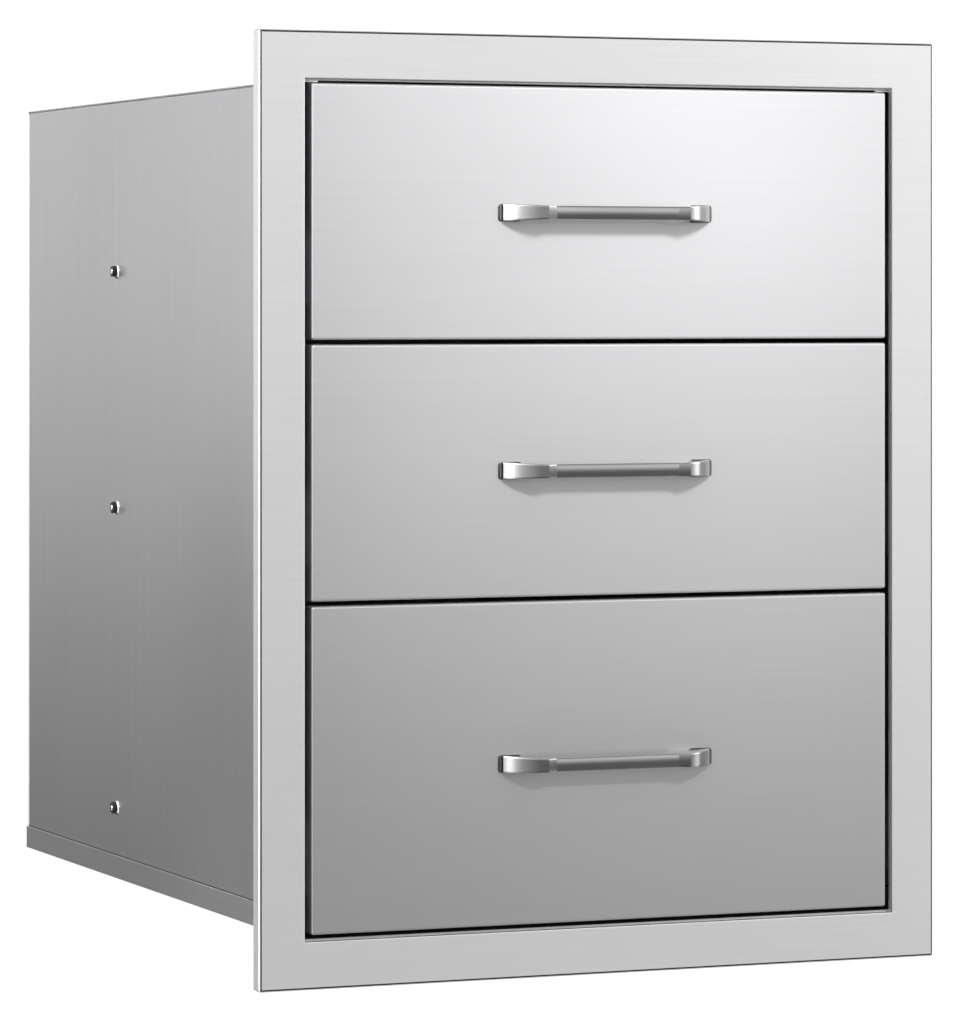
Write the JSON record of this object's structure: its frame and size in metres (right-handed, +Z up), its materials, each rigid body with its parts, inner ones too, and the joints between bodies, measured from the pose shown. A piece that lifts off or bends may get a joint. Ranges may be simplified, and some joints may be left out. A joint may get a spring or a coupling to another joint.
{
  "type": "outdoor kitchen drawer unit",
  "caption": "Built-in stainless drawer stack: a wide face frame on a folded sheet enclosure, with flat drawer fronts, bowed bar handles and full-extension ball slides.",
  "frame": {"origin": "centre line of the unit, on the underside of the base tray, in the plane of the face frame's rear bearing lip", "axes": "+X to the right seen from the front, +Y back into the island, +Z up"},
  "size_m": [0.4572, 0.6, 0.5842],
  "materials": {
    "frame_steel": "fine horizontal brushed grain",
    "panel_steel": "mill finish with a faint grain",
    "front_steel": "fine horizontal brushed grain",
    "liner_steel": "mill finish",
    "tray_steel": "mill finish with a faint grain",
    "handle_steel": "satin with polished edges",
    "slide_steel": "bright zinc plated, slightly blue",
    "cage_steel": "zinc plated",
    "fastener_steel": "plain stainless",
    "bumper_rubber": "matt black"
  },
  "bodies": {
    "cabinet": {"face_frame": "frame_steel", "side_panel_left": "panel_steel", "side_panel_right": "panel_steel", "top_panel": "panel_steel", "rear_panel": "panel_steel", "base_tray": "panel_steel", "slide_bolts": "fastener_steel", "flange_nuts": "fastener_steel", "slide_bumpers": "bumper_rubber", "slide_outer_left_1": "slide_steel", "slide_outer_right_1": "slide_steel", "slide_outer_left_2": "slide_steel", "slide_outer_right_2": "slide_steel", "slide_outer_left_3": "slide_steel", "slide_outer_right_3": "slide_steel"},
    "drawer_1": {"drawer_front_1": "front_steel", "front_liner_1": "liner_steel", "drawer_tray_1": "tray_steel", "handle_1": "handle_steel", "handle_screws_1": "fastener_steel", "slide_inner_left_1": "slide_steel", "slide_inner_right_1": "slide_steel"},
    "runner_1": {"slide_middle_left_1": "slide_steel", "slide_middle_right_1": "slide_steel"},
    "outer_cages_1": {"ball_cages_outer_1": "cage_steel"},
    "inner_cages_1": {"ball_cages_inner_1": "cage_steel"},
    "drawer_2": {"drawer_front_2": "front_steel", "front_liner_2": "liner_steel", "drawer_tray_2": "tray_steel", "handle_2": "handle_steel", "handle_screws_2": "fastener_steel", "slide_inner_left_2": "slide_steel", "slide_inner_right_2": "slide_steel"},
    "runner_2": {"slide_middle_left_2": "slide_steel", "slide_middle_right_2": "slide_steel"},
    "outer_cages_2": {"ball_cages_outer_2": "cage_steel"},
    "inner_cages_2": {"ball_cages_inner_2": "cage_steel"},
    "drawer_3": {"drawer_front_3": "front_steel", "front_liner_3": "liner_steel", "drawer_tray_3": "tray_steel", "handle_3": "handle_steel", "handle_screws_3": "fastener_steel", "slide_inner_left_3": "slide_steel", "slide_inner_right_3": "slide_steel"},
    "runner_3": {"slide_middle_left_3": "slide_steel", "slide_middle_right_3": "slide_steel"},
    "outer_cages_3": {"ball_cages_outer_3": "cage_steel"},
    "inner_cages_3": {"ball_cages_inner_3": "cage_steel"}
  },
  "joints": [
    {"name": "drawer_1_slide", "type": "slide", "parent": "cabinet", "child": "drawer_1", "axis": [0, -1, 0], "range_m": [0, 0.48]},
    {"name": "runner_1_slide", "type": "slide", "parent": "cabinet", "child": "runner_1", "axis": [0, -1, 0], "range_m": [0, 0.24]},
    {"name": "outer_cages_1_slide", "type": "slide", "parent": "cabinet", "child": "outer_cages_1", "axis": [0, -1, 0], "range_m": [0, 0.12]},
    {"name": "inner_cages_1_slide", "type": "slide", "parent": "cabinet", "child": "inner_cages_1", "axis": [0, -1, 0], "range_m": [0, 0.36]},
    {"name": "drawer_2_slide", "type": "slide", "parent": "cabinet", "child": "drawer_2", "axis": [0, -1, 0], "range_m": [0, 0.48]},
    {"name": "runner_2_slide", "type": "slide", "parent": "cabinet", "child": "runner_2", "axis": [0, -1, 0], "range_m": [0, 0.24]},
    {"name": "outer_cages_2_slide", "type": "slide", "parent": "cabinet", "child": "outer_cages_2", "axis": [0, -1, 0], "range_m": [0, 0.12]},
    {"name": "inner_cages_2_slide", "type": "slide", "parent": "cabinet", "child": "inner_cages_2", "axis": [0, -1, 0], "range_m": [0, 0.36]},
    {"name": "drawer_3_slide", "type": "slide", "parent": "cabinet", "child": "drawer_3", "axis": [0, -1, 0], "range_m": [0, 0.48]},
    {"name": "runner_3_slide", "type": "slide", "parent": "cabinet", "child": "runner_3", "axis": [0, -1, 0], "range_m": [0, 0.24]},
    {"name": "outer_cages_3_slide", "type": "slide", "parent": "cabinet", "child": "outer_cages_3", "axis": [0, -1, 0], "range_m": [0, 0.12]},
    {"name": "inner_cages_3_slide", "type": "slide", "parent": "cabinet", "child": "inner_cages_3", "axis": [0, -1, 0], "range_m": [0, 0.36]}
  ],
  "couplings": [
    {"joint": "runner_1_slide", "follows": "drawer_1_slide", "ratio": 0.5},
    {"joint": "outer_cages_1_slide", "follows": "drawer_1_slide", "ratio": 0.25},
    {"joint": "inner_cages_1_slide", "follows": "drawer_1_slide", "ratio": 0.75},
    {"joint": "runner_2_slide", "follows": "drawer_2_slide", "ratio": 0.5},
    {"joint": "outer_cages_2_slide", "follows": "drawer_2_slide", "ratio": 0.25},
    {"joint": "inner_cages_2_slide", "follows": "drawer_2_slide", "ratio": 0.75},
    {"joint": "runner_3_slide", "follows": "drawer_3_slide", "ratio": 0.5},
    {"joint": "outer_cages_3_slide", "follows": "drawer_3_slide", "ratio": 0.25},
    {"joint": "inner_cages_3_slide", "follows": "drawer_3_slide", "ratio": 0.75}
  ]
}
